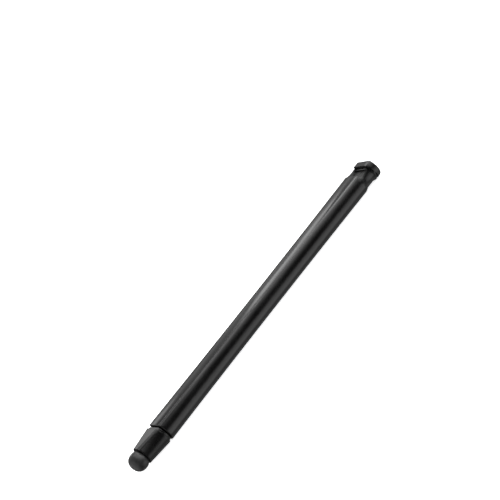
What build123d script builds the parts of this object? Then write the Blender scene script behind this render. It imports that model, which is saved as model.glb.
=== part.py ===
from build123d import *

import math
import os

# Passive touch stylus, millimetres. The pen lies along X with its rubber tip at -X,
# its flat side up, and the lowest line of its belly on Z = 0.

# Outer section of the barrel: a tall ellipse, cut by the flat and by a bevel each side of it
HALF_WIDTH = 4.05
HALF_HEIGHT = 4.6
OVAL_RISE = 0.78            # ellipse's centre above the pen's axis
FLAT_HEIGHT = 3.27          # flat above the axis
FLAT_HALF_WIDTH = 3.0
BEVEL_SLOPE = 0.5
WAIST = 0.2                 # how far each side draws in at mid-length
AXIS_HEIGHT = HALF_HEIGHT - OVAL_RISE

# Stations along the pen, measured from the front of the rubber tip
OVERALL_LENGTH = 125.0
BALL_CENTRE = 3.0
NOSE_MOUTH = 4.75
BEAD_FRONT = 8.0
BEAD_BACK = 9.2
FLANGE_BACK = 10.0
RING_BACK = 11.2
NOSE_RIM = 12.75
COLLAR_BACK = 13.4
BARREL_FRONT = 13.9
SPIGOT_BACK = 22.5
ROD_FRONT = 23.4
SOCKET_BACK = 24.0
ROD_BACK = 107.5
PLUG_FRONT = 108.8
BARREL_BACK = 116.8
RECESS_FRONT = 117.05
BAR_FRONT = 120.8
BAR_BACK = 121.2
HEAD_FRONT = 121.5
NECK_BACK = 122.5

# Rubber tip, its stud and the ring behind it
BALL_RADIUS = 3.05
DOME_BLUNTNESS = 2.35       # exponent of the dome's profile; 2 would be round
DOME_STEPS = 8
DOME_WALL = 0.7
SKIRT_RADIUS = 1.95
BEAD_RADIUS = 2.3
STUD_RADIUS = 1.25
STUD_HEAD_BACKSET = 1.0     # stud's front face behind the ball's centre plane
STUD_HEAD_ROUND = 0.5
STEM_RADIUS = 0.85
STEM_BACK = 13.0
RING_HOLE_RADIUS = 1.0

# Nose and the carrier that plugs it into the barrel
MOUTH_HALF_WIDTH = 3.2
MOUTH_HALF_HEIGHT = 3.3
NOSE_MOUTH_BORE = 2.0
NOSE_BORE = 2.35
NOSE_RIM_INSET = 0.04
MOUTH_RISE = 0.25
MOUTH_FLAT_HALF = 1.1
COLLAR_INSET = 0.45
SPLIT_LEAN = 0.105          # the joint between nose and barrel leans back towards the belly
SPIGOT_RADIUS = 1.85
SPRING_BORE = 0.95
RUNNING_CLEARANCE = 0.05
O_RING_WIRE = 0.27
O_RING_STATIONS = (16.4, 19.6)
KEY_WIDTH = 0.8
KEY_HEIGHT = 0.55
KEY_LENGTH = 2.0
KEY_TOP = -1.0

# Contact spring
SPRING_WIRE = 0.14
SPRING_MEAN_RADIUS = 0.68
SPRING_PITCH = 0.95
SPRING_FRONT_GAP = 0.02
SPRING_BACK_GAP = 0.05
O_RING_LIFT = 0.02

# Barrel interior
COVER_THICKNESS = 0.7
COVER_SLOT_HALF_WIDTH = 2.68
SEAM = 0.06
CAVITY_HALF_WIDTH = 2.9
CAVITY_HALF_HEIGHT = 2.75
SOCKET_RADIUS = 3.0
SOCKET_BACKSET = 0.1
SPIGOT_END_GAP = 0.3
ROD_RADIUS = 1.25
ROD_CHAMFER = 0.3
BUSH_LENGTH = 4.0
BUSH_STATIONS = (28.0, 64.0, 100.0)
TAB_STATIONS = (38.0, 54.0, 74.0, 90.0)
TAB_LENGTH = 5.0
TAB_HALF_WIDTH = 0.95
TAB_DEPTH = 0.8
FIT = 0.03

# Head: a shallow neck all round, a recess open to one side, and a bar in front of the head
NECK_INSET = 0.42
NECK_RAMP = 1.6
NECK_BACK_RAMP = 1.2
NECK_FLAT = 2.83            # neck's flat above the axis
NECK_FLAT_RAMP = 0.5
RECESS_FLOOR = 1.8
RECESS_WALL_FOOT = 2.6      # sloping wall that closes the recess on one side
RECESS_WALL_TOP = 3.0
HEAD_LEAN = 0.28            # front of the head leans back towards the belly
LOOP_FRONT = 120.6
LOOP_FLOOR = 1.2            # bottom of the passage that the tether loop takes under the bar
LOOP_HALF_WIDTH = 2.2
BAR_TOP = 2.38
BAR_NEAR_END = 3.5
BAR_FAR_END = 2.58
BAR_EDGE_ROUND = 0.15
EDGE_BREAK = 0.12
CROWN_RADIUS = 15.0
CROWN_DROP = 1.28           # crown's centre below the axis
HEAD_ROUND = 0.3
FLAT_END_ROUND = 1.2
FLAT_END_CENTRE = 123.25

BIG = 20.0


def at(station):
    """X of a station."""
    return station - OVERALL_LENGTH / 2


def across(station):
    """Plane across the pen, its origin on the axis and its Y pointing up."""
    return Plane(origin=(at(station), 0, AXIS_HEIGHT), x_dir=(0, 1, 0), z_dir=(1, 0, 0))


def along(face, length):
    """Solid that the face sweeps out towards the head."""
    return extrude(face, length, dir=(1, 0, 0))


def below_flat(flat_height, flat_half):
    """Everything below a flat that has a bevel each side."""
    drop = BEVEL_SLOPE * (BIG - flat_half)
    return Polygon(
        (-flat_half, flat_height),
        (flat_half, flat_height),
        (BIG, flat_height - drop),
        (BIG, -BIG),
        (-BIG, -BIG),
        (-BIG, flat_height - drop),
        align=None,
    )


def section(station, half_width, half_height, rise, flat_height, flat_half):
    """D-shaped face across the pen: an ellipse below a flat with a bevel each side."""
    oval = Pos(0, rise) * Ellipse(half_width, half_height)
    return across(station) * (oval & below_flat(flat_height, flat_half))


def barrel_section(station, inset, flat_height=FLAT_HEIGHT):
    """The barrel's outer section, drawn in by inset on every side."""
    return section(
        station,
        HALF_WIDTH - inset,
        HALF_HEIGHT - inset,
        OVAL_RISE,
        flat_height - inset,
        FLAT_HALF_WIDTH - inset / 2,
    )


def side_plane():
    """Plane along the pen, its origin on the axis and its Y pointing up."""
    return Plane(origin=(0, BIG, AXIS_HEIGHT), x_dir=(1, 0, 0), z_dir=(0, -1, 0))


def side_prism(outline):
    """Solid across the whole pen from an outline of X and height above the axis."""
    return extrude(side_plane() * Polygon(*outline, align=None), 2 * BIG, dir=(0, -1, 0))


def ahead_of(station, lean):
    """Everything ahead of a plane that meets the flat at station and leans back below it."""
    return side_prism(
        (
            (at(station) - lean * (BIG - FLAT_HEIGHT), BIG),
            (at(station) + lean * (BIG + FLAT_HEIGHT), -BIG),
            (at(0) - BIG, -BIG),
            (at(0) - BIG, BIG),
        )
    )


def rod_between(radius, front, back):
    """Round solid on the pen's axis."""
    return along(across(front) * Circle(radius), back - front)


def slab(front, back, half_width, low, high):
    """Block across the pen; low and high are heights above the axis."""
    centre = ((at(front) + at(back)) / 2, 0, AXIS_HEIGHT + (low + high) / 2)
    return Pos(*centre) * Box(back - front, 2 * half_width, high - low)


def oval_between(half_width, half_height, front, back):
    """Oval solid on the pen's axis."""
    return along(across(front) * Ellipse(half_width, half_height), back - front)


def raised_oval_between(front, back):
    """The barrel's full ellipse, before the flat is cut."""
    oval = Pos(0, OVAL_RISE) * Ellipse(HALF_WIDTH, HALF_HEIGHT)
    return along(across(front) * oval, back - front)


UNDER_COVER = FLAT_HEIGHT - COVER_THICKNESS
CEILING = UNDER_COVER - FIT
LEAN_RUN = SPLIT_LEAN * (FLAT_HEIGHT + AXIS_HEIGHT)


def make_dome():
    """Front half of the ball, blunter than a hemisphere."""
    points = []
    for step in range(DOME_STEPS + 1):
        angle = math.pi / 2 * step / DOME_STEPS
        ahead = math.cos(angle) ** (2 / DOME_BLUNTNESS) if step < DOME_STEPS else 0.0
        outward = math.sin(angle) ** (2 / DOME_BLUNTNESS)
        points.append((at(BALL_CENTRE) - BALL_CENTRE * ahead, BALL_RADIUS * outward))
    curve = Spline(*points, tangents=((0, 1), (1, 0)))
    centre = (at(BALL_CENTRE), 0)
    outline = [curve, Line(points[-1], centre), Line(centre, points[0])]
    axis_plane = Plane(origin=(0, 0, AXIS_HEIGHT), x_dir=(1, 0, 0), z_dir=(0, -1, 0))
    face = axis_plane * make_face(outline)
    return revolve(face, Axis((0, 0, AXIS_HEIGHT), (1, 0, 0)))


def make_rubber_tip():
    """Hollow ball on a skirt that ends in a bead."""
    ball = Pos(at(BALL_CENTRE), 0, AXIS_HEIGHT) * Sphere(BALL_RADIUS)
    ball -= slab(-BALL_RADIUS, BALL_CENTRE, BIG, -BIG, BIG)
    ball += make_dome()
    skirt = rod_between(SKIRT_RADIUS, BALL_CENTRE, BEAD_BACK)
    bead = rod_between(BEAD_RADIUS, BEAD_FRONT, BEAD_BACK)
    ball -= slab(NOSE_MOUTH, BARREL_FRONT, BIG, -BIG, BIG)
    hollow = Pos(at(BALL_CENTRE), 0, AXIS_HEIGHT) * Sphere(BALL_RADIUS - DOME_WALL)
    hollow -= slab(NOSE_MOUTH, BARREL_FRONT, BIG, -BIG, BIG)
    bore = rod_between(STUD_RADIUS, BALL_CENTRE, BEAD_BACK)
    return ball + skirt + bead - hollow - bore


def make_tip_post():
    """Stud with a domed head, a flange behind the bead and a thin stem."""
    head = BALL_CENTRE + STUD_HEAD_BACKSET
    post = rod_between(STUD_RADIUS, head, BEAD_BACK)
    post = fillet(post.edges().group_by(Axis.X)[0], STUD_HEAD_ROUND)
    post += rod_between(BEAD_RADIUS, BEAD_BACK, FLANGE_BACK)
    post += rod_between(STEM_RADIUS, FLANGE_BACK, STEM_BACK)
    return post


def make_retaining_ring():
    """Ring pressed into the nose behind the stud's flange."""
    ring = rod_between(NOSE_BORE, FLANGE_BACK, RING_BACK)
    return ring - rod_between(RING_HOLE_RADIUS, FLANGE_BACK, RING_BACK)


def make_nose_sleeve():
    """Tapered sleeve, nearly round at its mouth and D-shaped at its leaning rim."""
    mouth = section(
        NOSE_MOUTH,
        MOUTH_HALF_WIDTH,
        MOUTH_HALF_HEIGHT,
        MOUTH_RISE,
        FLAT_HEIGHT,
        MOUTH_FLAT_HALF,
    )
    back = barrel_section(NOSE_RIM + LEAN_RUN, NOSE_RIM_INSET)
    sleeve = loft([mouth, back], ruled=True) & ahead_of(NOSE_RIM, SPLIT_LEAN)
    sleeve = chamfer(sleeve.faces().sort_by(Axis.X)[-1].edges(), EDGE_BREAK)
    sleeve -= rod_between(NOSE_MOUTH_BORE, NOSE_MOUTH, BEAD_FRONT)
    sleeve -= rod_between(NOSE_BORE, BEAD_FRONT, NOSE_RIM + LEAN_RUN)
    return sleeve


def make_nose_carrier():
    """Boss in the nose, D-shaped collar behind it, then the ringed spigot with its key."""
    collar = along(barrel_section(NOSE_RIM, COLLAR_INSET), COLLAR_BACK + LEAN_RUN - NOSE_RIM)
    collar &= ahead_of(COLLAR_BACK, SPLIT_LEAN)
    collar -= ahead_of(NOSE_RIM, SPLIT_LEAN)
    carrier = rod_between(NOSE_BORE, RING_BACK, COLLAR_BACK) + collar
    carrier += rod_between(SPIGOT_RADIUS, COLLAR_BACK, SPIGOT_BACK)
    key_low = -SPIGOT_RADIUS - KEY_HEIGHT
    key_back = BARREL_FRONT + KEY_LENGTH
    carrier += slab(COLLAR_BACK, key_back, KEY_WIDTH / 2, key_low, KEY_TOP)
    carrier -= rod_between(SPRING_BORE, RING_BACK, SPIGOT_BACK)
    for station in O_RING_STATIONS:
        carrier -= make_o_ring(station)
    return carrier


def make_o_ring(station):
    """One round-wire ring proud of the spigot, just inside the socket's bore."""
    mean_radius = SPIGOT_RADIUS + O_RING_LIFT - O_RING_WIRE
    place = Pos(at(station), 0, AXIS_HEIGHT) * Rot(0, 90, 0)
    return place * Torus(mean_radius, O_RING_WIRE)


def make_contact_spring():
    """Coil spring from the stud's stem to the front of the rod."""
    front = STEM_BACK + SPRING_WIRE + SPRING_FRONT_GAP
    length = ROD_FRONT - SPRING_WIRE - SPRING_BACK_GAP - front
    place = Pos(at(front), 0, AXIS_HEIGHT) * Rot(0, 90, 0)
    path = Helix(SPRING_PITCH, length, SPRING_MEAN_RADIUS)
    start = Plane(origin=path @ 0, z_dir=path % 0)
    wire = sweep(start * Circle(SPRING_WIRE), path=path, is_frenet=True)
    return place * wire


def make_nose_socket():
    """Metal ferrule in the front of the barrel that takes the spigot and its key."""
    socket = rod_between(SOCKET_RADIUS - FIT, BARREL_FRONT, SOCKET_BACK)
    socket -= ahead_of(BARREL_FRONT + SOCKET_BACKSET, SPLIT_LEAN)
    socket -= slab(BARREL_FRONT, SOCKET_BACK, BIG, CEILING, BIG)
    socket -= rod_between(SPIGOT_RADIUS + RUNNING_CLEARANCE, BARREL_FRONT, SPIGOT_BACK + SPIGOT_END_GAP)
    socket -= rod_between(ROD_RADIUS + FIT, SPIGOT_BACK, SOCKET_BACK)
    notch_low = -SPIGOT_RADIUS - KEY_HEIGHT - RUNNING_CLEARANCE
    notch_half = KEY_WIDTH / 2 + RUNNING_CLEARANCE
    notch_back = BARREL_FRONT + KEY_LENGTH + RUNNING_CLEARANCE
    socket -= slab(BARREL_FRONT, notch_back, notch_half, notch_low, 0)
    return socket


def make_barrel():
    """The solid outer form of the barrel, drawn in at mid-length."""
    middle = (BARREL_FRONT + BARREL_BACK) / 2
    stations = ((BARREL_FRONT, 0.0), (middle, WAIST), (BARREL_BACK, 0.0))
    barrel = loft([barrel_section(station, inset) for station, inset in stations])
    barrel -= ahead_of(BARREL_FRONT, SPLIT_LEAN)
    return chamfer(barrel.faces().sort_by(Axis.X)[0].edges(), EDGE_BREAK)


def make_barrel_shell(barrel):
    """Belly of the barrel: a long trough with a ledge each side for the cover."""
    shell = barrel - oval_between(
        CAVITY_HALF_WIDTH, CAVITY_HALF_HEIGHT, SOCKET_BACK, BARREL_BACK
    )
    shell -= rod_between(SOCKET_RADIUS, BARREL_FRONT, SOCKET_BACK)
    shell -= slab(BARREL_FRONT, BARREL_BACK, COVER_SLOT_HALF_WIDTH, UNDER_COVER, BIG)
    return shell


def make_barrel_cover(barrel):
    """Flat strip that closes the trough, with snap tabs on its underside."""
    strip = slab(BARREL_FRONT, BARREL_BACK, COVER_SLOT_HALF_WIDTH - SEAM, UNDER_COVER, BIG)
    cover = barrel & strip
    for station in TAB_STATIONS:
        cover += slab(
            station, station + TAB_LENGTH, TAB_HALF_WIDTH, UNDER_COVER - TAB_DEPTH, UNDER_COVER
        )
    return cover


def make_core_rod():
    """Round rod that gives weight and carries the charge to the hand."""
    rod = rod_between(ROD_RADIUS, ROD_FRONT, ROD_BACK)
    return chamfer(rod.edges().filter_by(GeomType.CIRCLE), ROD_CHAMFER)


def make_rod_bushes():
    """Three saddles that fill the cavity and hold the rod."""
    bushes = []
    for station in BUSH_STATIONS:
        bush = oval_between(
            CAVITY_HALF_WIDTH - FIT, CAVITY_HALF_HEIGHT - FIT, station, station + BUSH_LENGTH
        )
        bush -= slab(station, station + BUSH_LENGTH, BIG, CEILING, BIG)
        bush -= rod_between(ROD_RADIUS, station, station + BUSH_LENGTH)
        bushes.append(bush)
    return Compound(children=bushes)


def make_head_block():
    """Oval block with a crowned end, cut by the flat and rounded where the flat ends."""
    crown = Pos(at(OVERALL_LENGTH - CROWN_RADIUS), 0, AXIS_HEIGHT - CROWN_DROP)
    block = raised_oval_between(HEAD_FRONT, OVERALL_LENGTH) & crown * Sphere(CROWN_RADIUS)
    block = fillet(block.faces().sort_by(Axis.X)[-1].edges(), HEAD_ROUND)
    limit = below_flat(FLAT_HEIGHT, FLAT_HALF_WIDTH)
    block &= along(across(HEAD_FRONT) * limit, OVERALL_LENGTH - HEAD_FRONT)
    round_low = FLAT_HEIGHT - FLAT_END_ROUND
    corner = slab(FLAT_END_CENTRE, OVERALL_LENGTH, BIG, round_low, BIG)
    roll = Pos(at(FLAT_END_CENTRE), 0, AXIS_HEIGHT + round_low) * Rot(90, 0, 0)
    corner -= roll * Cylinder(FLAT_END_ROUND, 2 * BIG)
    block -= corner
    return block - ahead_of(HEAD_FRONT, HEAD_LEAN)


def make_head_cap():
    """End piece: plug in the barrel, neck with a recess, and the head."""
    plug = oval_between(
        CAVITY_HALF_WIDTH - FIT, CAVITY_HALF_HEIGHT - FIT, PLUG_FRONT, BARREL_BACK
    )
    plug -= slab(PLUG_FRONT, BARREL_BACK, BIG, CEILING, BIG)
    neck_front = BARREL_BACK + NECK_RAMP
    ramp_back = NECK_BACK - NECK_BACK_RAMP
    front_faces = [barrel_section(BARREL_BACK, 0.0), barrel_section(neck_front, NECK_INSET)]
    back_faces = [barrel_section(ramp_back, NECK_INSET), barrel_section(NECK_BACK, 0.0)]
    neck = loft(front_faces, ruled=True) + loft(back_faces, ruled=True)
    neck += along(barrel_section(neck_front, NECK_INSET), ramp_back - neck_front)
    neck -= neck_flat_cut()
    neck -= recess_cut()
    cap = plug + neck + make_head_block()
    return cap - slab(LOOP_FRONT, HEAD_FRONT, LOOP_HALF_WIDTH, LOOP_FLOOR, BIG)


def neck_flat_cut():
    """What lowers the neck's flat between a short ramp and the front of the head."""
    front = at(BARREL_BACK) + EDGE_BREAK
    return side_prism(
        (
            (front, FLAT_HEIGHT),
            (front + NECK_FLAT_RAMP, NECK_FLAT),
            (at(HEAD_FRONT), NECK_FLAT),
            (at(HEAD_FRONT), BIG),
            (front, BIG),
        )
    )


def recess_cut():
    """Recess down to its floor, open to one side and closed by a sloping wall on the other."""
    outline = Polygon(
        (-BIG, RECESS_FLOOR),
        (RECESS_WALL_FOOT, RECESS_FLOOR),
        (RECESS_WALL_TOP, NECK_FLAT),
        (RECESS_WALL_TOP, BIG),
        (-BIG, BIG),
        align=None,
    )
    return along(across(RECESS_FRONT) * outline, HEAD_FRONT - RECESS_FRONT)


def make_tether_bar():
    """Bar across the recess, lying on its floor and bridging the passage for the loop."""
    outline = Polygon(
        (-BAR_NEAR_END, RECESS_FLOOR),
        (BAR_FAR_END, RECESS_FLOOR),
        (BAR_FAR_END, BAR_TOP),
        (-BAR_NEAR_END, BAR_TOP),
        align=None,
    )
    bar = along(across(BAR_FRONT) * outline, BAR_BACK - BAR_FRONT)
    top = bar.edges().filter_by(Axis.Y).group_by(Axis.Z)[-1]
    return fillet(top, BAR_EDGE_ROUND)


def main():
    barrel = make_barrel()
    nodes = {
        "rubber_tip": make_rubber_tip(),
        "tip_post": make_tip_post(),
        "retaining_ring": make_retaining_ring(),
        "nose_sleeve": make_nose_sleeve(),
        "nose_carrier": make_nose_carrier(),
        "spigot_o_rings": Compound(children=[make_o_ring(place) for place in O_RING_STATIONS]),
        "contact_spring": make_contact_spring(),
        "nose_socket": make_nose_socket(),
        "barrel_shell": make_barrel_shell(barrel),
        "barrel_cover": make_barrel_cover(barrel),
        "core_rod": make_core_rod(),
        "rod_bushes": make_rod_bushes(),
        "head_cap": make_head_cap(),
        "tether_bar": make_tether_bar(),
    }
    os.makedirs("parts", exist_ok=True)
    for name, shape in nodes.items():
        export_step(shape, f"parts/{name}.step")


main()
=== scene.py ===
import math

import bpy
from mathutils import Matrix, Vector


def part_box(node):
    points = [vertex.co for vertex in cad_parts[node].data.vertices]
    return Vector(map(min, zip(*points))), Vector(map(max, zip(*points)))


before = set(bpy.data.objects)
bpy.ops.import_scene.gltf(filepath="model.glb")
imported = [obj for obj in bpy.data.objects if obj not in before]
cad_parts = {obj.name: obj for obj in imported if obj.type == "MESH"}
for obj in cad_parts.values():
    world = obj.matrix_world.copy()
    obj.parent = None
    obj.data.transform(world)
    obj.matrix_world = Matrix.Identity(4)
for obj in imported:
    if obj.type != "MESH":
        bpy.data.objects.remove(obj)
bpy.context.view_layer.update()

MM = 0.001

# Places, in metres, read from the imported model
TIP_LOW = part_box("rubber_tip")[0]
SHELL_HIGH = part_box("barrel_shell")[1]
CAP_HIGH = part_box("head_cap")[1]
ROD_LOW, ROD_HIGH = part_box("core_rod")

AXIS_HEIGHT = (ROD_LOW.z + ROD_HIGH.z) / 2
BALL_BEHIND_TIP = 3.0 * MM                 # ball's centre behind the tip's front
BALL_CENTRE = Vector((TIP_LOW.x + BALL_BEHIND_TIP, 0.0, AXIS_HEIGHT))
FLAT_HALF = 3.0 * MM                       # half the width of the flat
BEVEL_SLOPE = 0.5                          # fall of the bevel beside it, over its width

# Camera: right and back axes, and its place from the ball's centre
CAMERA_RIGHT = Vector((0.58175, -0.49523, -0.64522))
CAMERA_BACK = Vector((-0.37028, -0.86755, 0.33202))
CAMERA_OFFSET = Vector((-139.04, -493.63, 203.17)) * MM
LENS = 134.64                              # millimetres, as is the sensor's width
SENSOR = 36.0
NEAREST_SEEN = 10 * MM


def link(obj):
    bpy.context.scene.collection.objects.link(obj)
    return obj


# ---------------------------------------------------------------- materials


PLASTIC_IOR = 1.5
NOSE_IOR = 1.42
TIP_IOR = 1.43


class Nodes:
    """A material's node tree with short calls for the nodes that are used here."""

    def __init__(self, name):
        self.material = bpy.data.materials.new(name)
        self.material.use_nodes = True
        self.tree = self.material.node_tree
        self.shader = self.tree.nodes["Principled BSDF"]
        self.place = self.tree.nodes.new("ShaderNodeTexCoord").outputs["Object"]

    def add(self, kind, **settings):
        node = self.tree.nodes.new(kind)
        for key, value in settings.items():
            setattr(node, key, value)
        return node

    def join(self, source, target):
        self.tree.links.new(source, target)

    def stretched(self, scale):
        """Object coordinates scaled along each axis."""
        mapping = self.add("ShaderNodeMapping")
        mapping.inputs["Scale"].default_value = scale
        self.join(self.place, mapping.inputs["Vector"])
        return mapping.outputs["Vector"]

    def noise(self, scale, detail=2.0, vector=None):
        """Noise with features of about 1/scale metres."""
        noise = self.add("ShaderNodeTexNoise")
        noise.inputs["Scale"].default_value = scale
        noise.inputs["Detail"].default_value = detail
        self.join(vector or self.place, noise.inputs["Vector"])
        return noise.outputs["Fac"]

    def ramp(self, factor, low, high, from_low=0.35, from_high=0.65):
        """Factor mapped to the range low to high."""
        mapped = self.add("ShaderNodeMapRange")
        mapped.inputs["From Min"].default_value = from_low
        mapped.inputs["From Max"].default_value = from_high
        mapped.inputs["To Min"].default_value = low
        mapped.inputs["To Max"].default_value = high
        self.join(factor, mapped.inputs["Value"])
        return mapped.outputs["Result"]

    def tint(self, factor, dark, light):
        """Colour between dark and light."""
        mix = self.add("ShaderNodeMix", data_type="RGBA")
        mix.inputs["A"].default_value = (*dark, 1.0)
        mix.inputs["B"].default_value = (*light, 1.0)
        self.join(factor, mix.inputs["Factor"])
        self.join(mix.outputs["Result"], self.shader.inputs["Base Color"])

    def bump(self, height, strength, depth, below=None):
        """Bump of the given depth in metres, on top of another bump's normal."""
        bump = self.add("ShaderNodeBump")
        bump.inputs["Strength"].default_value = strength
        bump.inputs["Distance"].default_value = depth
        self.join(height, bump.inputs["Height"])
        if below:
            self.join(below, bump.inputs["Normal"])
        self.join(bump.outputs["Normal"], self.shader.inputs["Normal"])
        return bump.outputs["Normal"]

    def crowned(self, drop, below):
        """Shade a flat face as if its middle stood above its edges by drop, in metres."""
        split = self.add("ShaderNodeSeparateXYZ")
        self.join(self.place, split.inputs["Vector"])
        share = self.add("ShaderNodeMath", operation="DIVIDE")
        share.inputs[1].default_value = FLAT_HALF
        self.join(split.outputs["Y"], share.inputs[0])
        square = self.add("ShaderNodeMath", operation="MULTIPLY")
        self.join(share.outputs["Value"], square.inputs[0])
        self.join(share.outputs["Value"], square.inputs[1])
        height = self.add("ShaderNodeMath", operation="SUBTRACT")
        height.inputs[0].default_value = 1.0
        self.join(square.outputs["Value"], height.inputs[1])
        return self.bump(height.outputs["Value"], 1.0, drop, below)


CLOUD_SCALE = 180.0                        # noise scales, about one over the feature's size in metres
SCUFF_SCALE = 2200.0
RIPPLE_SCALE = 600.0
GRAIN_SCALE = 9000.0
SCUFFS_ALONG = (0.04, 1.0, 1.0)
GLOSS_SPREAD = 0.02
SCUFF_DULLING = 0.05
RIPPLE_DEPTH = 0.004 * MM


def moulded_plastic(name, dark, light, gloss, grain_depth, crown=0.0, ior=PLASTIC_IOR):
    """Black moulded plastic: fine spark-eroded grain, cloudy gloss and faint scuffs along the pen."""
    nodes = Nodes(name)
    clouds = nodes.noise(CLOUD_SCALE, 3.0)
    nodes.tint(nodes.ramp(clouds, 0.0, 1.0), dark, light)
    scuffs = nodes.noise(SCUFF_SCALE, 2.0, nodes.stretched(SCUFFS_ALONG))
    uneven = nodes.add("ShaderNodeMath", operation="ADD")
    nodes.join(nodes.ramp(clouds, gloss - GLOSS_SPREAD, gloss + GLOSS_SPREAD), uneven.inputs[0])
    nodes.join(nodes.ramp(scuffs, 0.0, SCUFF_DULLING, 0.55, 0.75), uneven.inputs[1])
    nodes.join(uneven.outputs["Value"], nodes.shader.inputs["Roughness"])
    ripple = nodes.bump(nodes.noise(RIPPLE_SCALE, 1.0), 0.25, RIPPLE_DEPTH)
    if crown:
        ripple = nodes.crowned(crown, ripple)
    nodes.bump(nodes.noise(GRAIN_SCALE, 2.0), 0.5, grain_depth, ripple)
    nodes.shader.inputs["IOR"].default_value = ior
    return nodes.material


def tip_rubber():
    """Conductive silicone: matt, slightly dusty, with a fine even tooth."""
    nodes = Nodes("tip_rubber")
    nodes.tint(nodes.ramp(nodes.noise(900.0, 4.0), 0.0, 1.0), (0.026,) * 3, (0.036,) * 3)
    nodes.join(nodes.ramp(nodes.noise(500.0, 3.0), 0.32, 0.40), nodes.shader.inputs["Roughness"])
    nodes.bump(nodes.noise(7000.0, 2.0), 0.5, 0.004 * MM)
    nodes.shader.inputs["IOR"].default_value = TIP_IOR
    return nodes.material


def ring_rubber():
    """O-ring rubber: smooth, black, with a faint moulding bloom."""
    nodes = Nodes("ring_rubber")
    nodes.tint(nodes.ramp(nodes.noise(1500.0, 2.0), 0.0, 1.0), (0.010,) * 3, (0.018,) * 3)
    nodes.join(nodes.ramp(nodes.noise(900.0), 0.35, 0.45), nodes.shader.inputs["Roughness"])
    nodes.bump(nodes.noise(6000.0), 0.3, 0.003 * MM)
    return nodes.material


def metal(name, dark, light, smoothest, roughest, lay):
    """Bare metal whose tool marks follow the lay: stretch factors along X, Y and Z."""
    nodes = Nodes(name)
    marks = nodes.noise(6000.0, 3.0, nodes.stretched(lay))
    nodes.tint(nodes.ramp(marks, 0.0, 1.0), dark, light)
    nodes.join(nodes.ramp(marks, smoothest, roughest), nodes.shader.inputs["Roughness"])
    nodes.bump(marks, 0.35, 0.004 * MM)
    nodes.shader.inputs["Metallic"].default_value = 1.0
    return nodes.material


def nylon():
    """Natural nylon: off-white, waxy, faintly mottled."""
    nodes = Nodes("nylon")
    nodes.tint(nodes.ramp(nodes.noise(700.0, 3.0), 0.0, 1.0), (0.62, 0.60, 0.54), (0.74, 0.72, 0.66))
    nodes.join(nodes.ramp(nodes.noise(400.0), 0.38, 0.5), nodes.shader.inputs["Roughness"])
    nodes.bump(nodes.noise(4000.0), 0.3, 0.005 * MM)
    return nodes.material


BARREL_GLOSS = 0.2                         # roughness of the plastics
NOSE_GLOSS = 0.26
OXIDE_GLOSS = 0.3
PLASTIC_GRAIN = 0.002 * MM
FLAT_CROWN = 0.12 * MM
BLACK = ((0.006,) * 3, (0.009,) * 3)       # darkest and lightest shade
COVER_BLACK = ((0.007,) * 3, (0.010,) * 3)
OXIDE_BLACK = ((0.010,) * 3, (0.016,) * 3)
BRASS = ((0.62, 0.43, 0.17), (0.80, 0.60, 0.28))
# Brass tones darkened to nearly black: painted shade for the socket's face where it shows in the gap at the
# nose
GAP_SHADE_BRASS_TONES = ((0.030, 0.026, 0.020), (0.050, 0.042, 0.030))
STEEL = ((0.45, 0.45, 0.46), (0.62, 0.62, 0.63))
WIRE_STEEL = ((0.50, 0.49, 0.47), (0.70, 0.69, 0.66))
TURNED_ROUND = (1.0, 0.05, 0.05)           # lay of the tool marks
DRAWN_ALONG = (0.04, 1.0, 1.0)
NO_LAY = (1.0, 1.0, 1.0)

BARREL_PLASTIC = moulded_plastic("barrel_plastic", *BLACK, BARREL_GLOSS, PLASTIC_GRAIN, FLAT_CROWN)
COVER_PLASTIC = moulded_plastic("cover_plastic", *COVER_BLACK, BARREL_GLOSS, PLASTIC_GRAIN, FLAT_CROWN)
NOSE_PLASTIC = moulded_plastic("nose_plastic", *BLACK, NOSE_GLOSS, PLASTIC_GRAIN, ior=NOSE_IOR)
HEAD_PLASTIC = moulded_plastic("head_plastic", *BLACK, NOSE_GLOSS, PLASTIC_GRAIN)
TIP_RUBBER = tip_rubber()
RING_RUBBER = ring_rubber()
NYLON = nylon()
TURNED_BRASS = metal("turned_brass", *BRASS, 0.2, 0.34, TURNED_ROUND)
# Brass with painted shade: its dark tone stands in for the shade in the gap at the nose
GAP_SHADE_BRASS = metal("brass_painted_gap_shade", *GAP_SHADE_BRASS_TONES, 0.35, 0.5, TURNED_ROUND)
DRAWN_STEEL = metal("drawn_steel", *STEEL, 0.22, 0.36, DRAWN_ALONG)
SPRING_WIRE = metal("spring_wire", *WIRE_STEEL, 0.16, 0.26, NO_LAY)
BLACK_STEEL = moulded_plastic("black_oxide", *OXIDE_BLACK, OXIDE_GLOSS, PLASTIC_GRAIN)

NODE_FINISH = {
    "rubber_tip": TIP_RUBBER,
    "tip_post": TURNED_BRASS,
    "retaining_ring": DRAWN_STEEL,
    "nose_sleeve": NOSE_PLASTIC,
    "nose_carrier": NOSE_PLASTIC,
    "spigot_o_rings": RING_RUBBER,
    "contact_spring": SPRING_WIRE,
    # the socket's brass is painted dark as the shade of the gap it is seen through
    "nose_socket": GAP_SHADE_BRASS,
    "barrel_shell": BARREL_PLASTIC,
    "barrel_cover": COVER_PLASTIC,
    "core_rod": DRAWN_STEEL,
    "rod_bushes": NYLON,
    "head_cap": HEAD_PLASTIC,
    "tether_bar": BLACK_STEEL,
}

# Rounded edges of the outer pieces, in millimetres
EDGE_ROUNDS = {
    "nose_sleeve": 0.08,
    "nose_carrier": 0.06,
    "barrel_shell": 0.05,
    "barrel_cover": 0.05,
    "head_cap": 0.08,
    "tether_bar": 0.05,
}
WELD_REACH = 0.002 * MM
BEVEL_SEGMENTS = 3
SHARPEST_TURN = math.radians(20.0)


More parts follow.
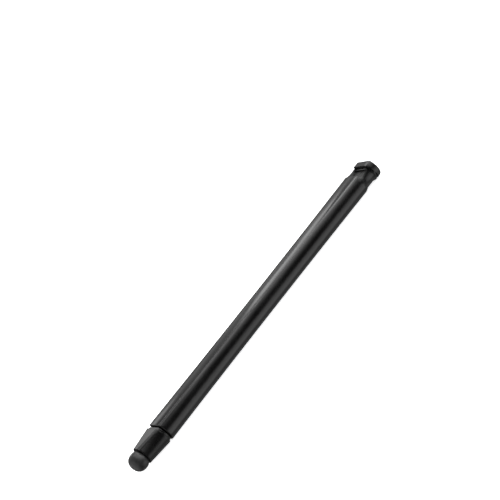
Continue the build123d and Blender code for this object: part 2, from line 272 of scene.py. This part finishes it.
def soften_edges(node, width):
    """Round the edges that turn by more than the sharpest turn that is left alone."""
    weld = node.modifiers.new("weld", "WELD")
    weld.merge_threshold = WELD_REACH
    bevel = node.modifiers.new("edge_round", "BEVEL")
    bevel.width = width
    bevel.segments = BEVEL_SEGMENTS
    bevel.limit_method = "ANGLE"
    bevel.angle_limit = SHARPEST_TURN
    bevel.harden_normals = True


def finish_cad_nodes():
    for name, material in NODE_FINISH.items():
        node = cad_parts[name]
        node.data.materials.clear()
        node.data.materials.append(material)
    for name, width in EDGE_ROUNDS.items():
        soften_edges(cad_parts[name], width * MM)


# ---------------------------------------------------------------- camera, floor and light


def make_camera():
    back = CAMERA_BACK.normalized()
    right = (CAMERA_RIGHT - back * CAMERA_RIGHT.dot(back)).normalized()
    up = back.cross(right)
    data = bpy.data.cameras.new("camera")
    data.lens = LENS
    data.sensor_width = SENSOR
    data.clip_start = NEAREST_SEEN
    camera = link(bpy.data.objects.new("camera", data))
    turn = Matrix((right, up, back)).transposed().to_4x4()
    camera.matrix_world = Matrix.Translation(BALL_CENTRE + CAMERA_OFFSET) @ turn
    bpy.context.scene.camera = camera


FLOOR_HALF = 3.0
FLOOR_WHITE = (0.9, 0.9, 0.9, 1.0)
FLOOR_GLOW = 0.85


def make_floor():
    """Plain white floor that mostly glows, so that contact shadows stay faint."""
    half = FLOOR_HALF
    mesh = bpy.data.meshes.new("floor")
    corners = [(-half, -half, 0), (half, -half, 0), (half, half, 0), (-half, half, 0)]
    mesh.from_pydata(corners, [], [(0, 1, 2, 3)])
    floor = link(bpy.data.objects.new("floor", mesh))
    material = bpy.data.materials.new("floor_white")
    material.use_nodes = True
    shader = material.node_tree.nodes["Principled BSDF"]
    shader.inputs["Base Color"].default_value = FLOOR_WHITE
    shader.inputs["Roughness"].default_value = 1.0
    shader.inputs["Specular IOR Level"].default_value = 0.0
    shader.inputs["Emission Color"].default_value = (1.0, 1.0, 1.0, 1.0)
    shader.inputs["Emission Strength"].default_value = FLOOR_GLOW
    mesh.materials.append(material)
    floor.visible_glossy = False
    floor.visible_diffuse = False


def softbox(name, target, direction, distance, size, watts, length=None):
    """Area light that faces the target from a direction."""
    data = bpy.data.lights.new(name, "AREA")
    data.energy = watts
    data.size = length or size
    if length:
        data.shape = "RECTANGLE"
        data.size_y = size
    light = link(bpy.data.objects.new(name, data))
    away = Vector(direction).normalized()
    light.location = Vector(target) + away * distance
    light.rotation_mode = "QUATERNION"
    turn = away.to_track_quat("Z", "Y")
    if length:
        side = (Vector((1, 0, 0)) - away * away.x).normalized()
        turn = Matrix((side, away.cross(side), away)).transposed().to_quaternion()
    light.rotation_quaternion = turn
    light.visible_camera = False
    return light


def along_pen(share, height):
    """Point on the pen: share 0 at the tip's ball, 1 at the head's end."""
    return Vector((BALL_CENTRE.x + share * (CAP_HIGH.x - BALL_CENTRE.x), 0.0, height))


def mirrored_view(point, normal):
    """Direction that a surface at point reflects into the camera."""
    view = (BALL_CENTRE + CAMERA_OFFSET - point).normalized()
    normal = normal.normalized()
    return normal * (2 * view.dot(normal)) - view


def leaning_up(degrees):
    """Upward direction that leans towards the camera's side of the pen."""
    angle = math.radians(degrees)
    return Vector((0.0, -math.sin(angle), math.cos(angle)))


# Lights mirrored in the flat: name, place along the pen, lean of the flat in degrees, side in metres, watts
FLAT_GLOWS = (
    ("glow_middle", 0.65, 9.0, 0.055, 0.0205),
    ("glow_rear", 0.79, 1.0, 0.035, 0.0016),
    ("glow_tip", -0.02, 3.0, 0.050, 0.0075),
)
GLOW_DISTANCE = 0.12
STRIP_DISTANCE = 0.3
STRIP_LENGTH = 0.3
STRIP_WIDTH = 0.05
STRIP_WATTS = 0.15


def make_lights():
    """Small soft lights, each placed where the flat mirrors it into the camera, and one for the bevel."""
    for name, share, lean, size, watts in FLAT_GLOWS:
        point = along_pen(share, SHELL_HIGH.z)
        softbox(name, point, mirrored_view(point, leaning_up(lean)), GLOW_DISTANCE, size, watts)
    point = along_pen(0.5, SHELL_HIGH.z)
    bevel = math.degrees(math.atan(BEVEL_SLOPE))
    towards = mirrored_view(point, leaning_up(bevel))
    softbox("bevel_strip", point, towards, STRIP_DISTANCE, STRIP_WIDTH, STRIP_WATTS, STRIP_LENGTH)


# Patches of the room that reflections see: direction, cosines where it begins and is full, strength
ROOM_LOBES = (
    ((0.35, 0.70, 0.62), 0.3, 0.99, 0.42),
    ((0.75, -0.35, 0.56), 0.55, 0.95, 2.9),
    ((0.33, -0.62, -0.71), 0.90, 0.995, 1.15),
    ((0.37, 0.10, -0.93), 0.5, 1.0, 0.3),
    ((-1.0, 0.15, 0.0), 0.3, 1.0, 1.1),
)


def make_world():
    """White for the eye; for reflections a dim room with a few soft bright patches."""
    world = bpy.data.worlds.new("studio")
    bpy.context.scene.world = world
    world.use_nodes = True
    tree = world.node_tree
    background = tree.nodes["Background"]
    direction = tree.nodes.new("ShaderNodeTexCoord").outputs["Generated"]

    def lobe(towards, low, high, strength):
        """Soft patch of light round a direction: none below cosine low, full above high."""
        dot = tree.nodes.new("ShaderNodeVectorMath")
        dot.operation = "DOT_PRODUCT"
        tree.links.new(direction, dot.inputs[0])
        dot.inputs[1].default_value = Vector(towards).normalized()
        fade = tree.nodes.new("ShaderNodeMapRange")
        fade.interpolation_type = "SMOOTHSTEP"
        fade.inputs["From Min"].default_value = low
        fade.inputs["From Max"].default_value = high
        fade.inputs["To Max"].default_value = strength
        tree.links.new(dot.outputs["Value"], fade.inputs["Value"])
        return fade.outputs["Result"]

    def total(values):
        result = values[0]
        for value in values[1:]:
            add = tree.nodes.new("ShaderNodeMath")
            add.operation = "ADD"
            tree.links.new(result, add.inputs[0])
            tree.links.new(value, add.inputs[1])
            result = add.outputs["Value"]
        return result

    room = total([lobe(*patch) for patch in ROOM_LOBES])
    path = tree.nodes.new("ShaderNodeLightPath")
    choose = tree.nodes.new("ShaderNodeMix")
    choose.inputs["B"].default_value = 1.0
    tree.links.new(path.outputs["Is Camera Ray"], choose.inputs["Factor"])
    tree.links.new(room, choose.inputs["A"])
    tree.links.new(choose.outputs["Result"], background.inputs["Strength"])
    background.inputs["Color"].default_value = (1.0, 1.0, 1.0, 1.0)


make_camera()
make_floor()
make_lights()
make_world()
finish_cad_nodes()
bpy.context.scene.view_settings.view_transform = "Standard"
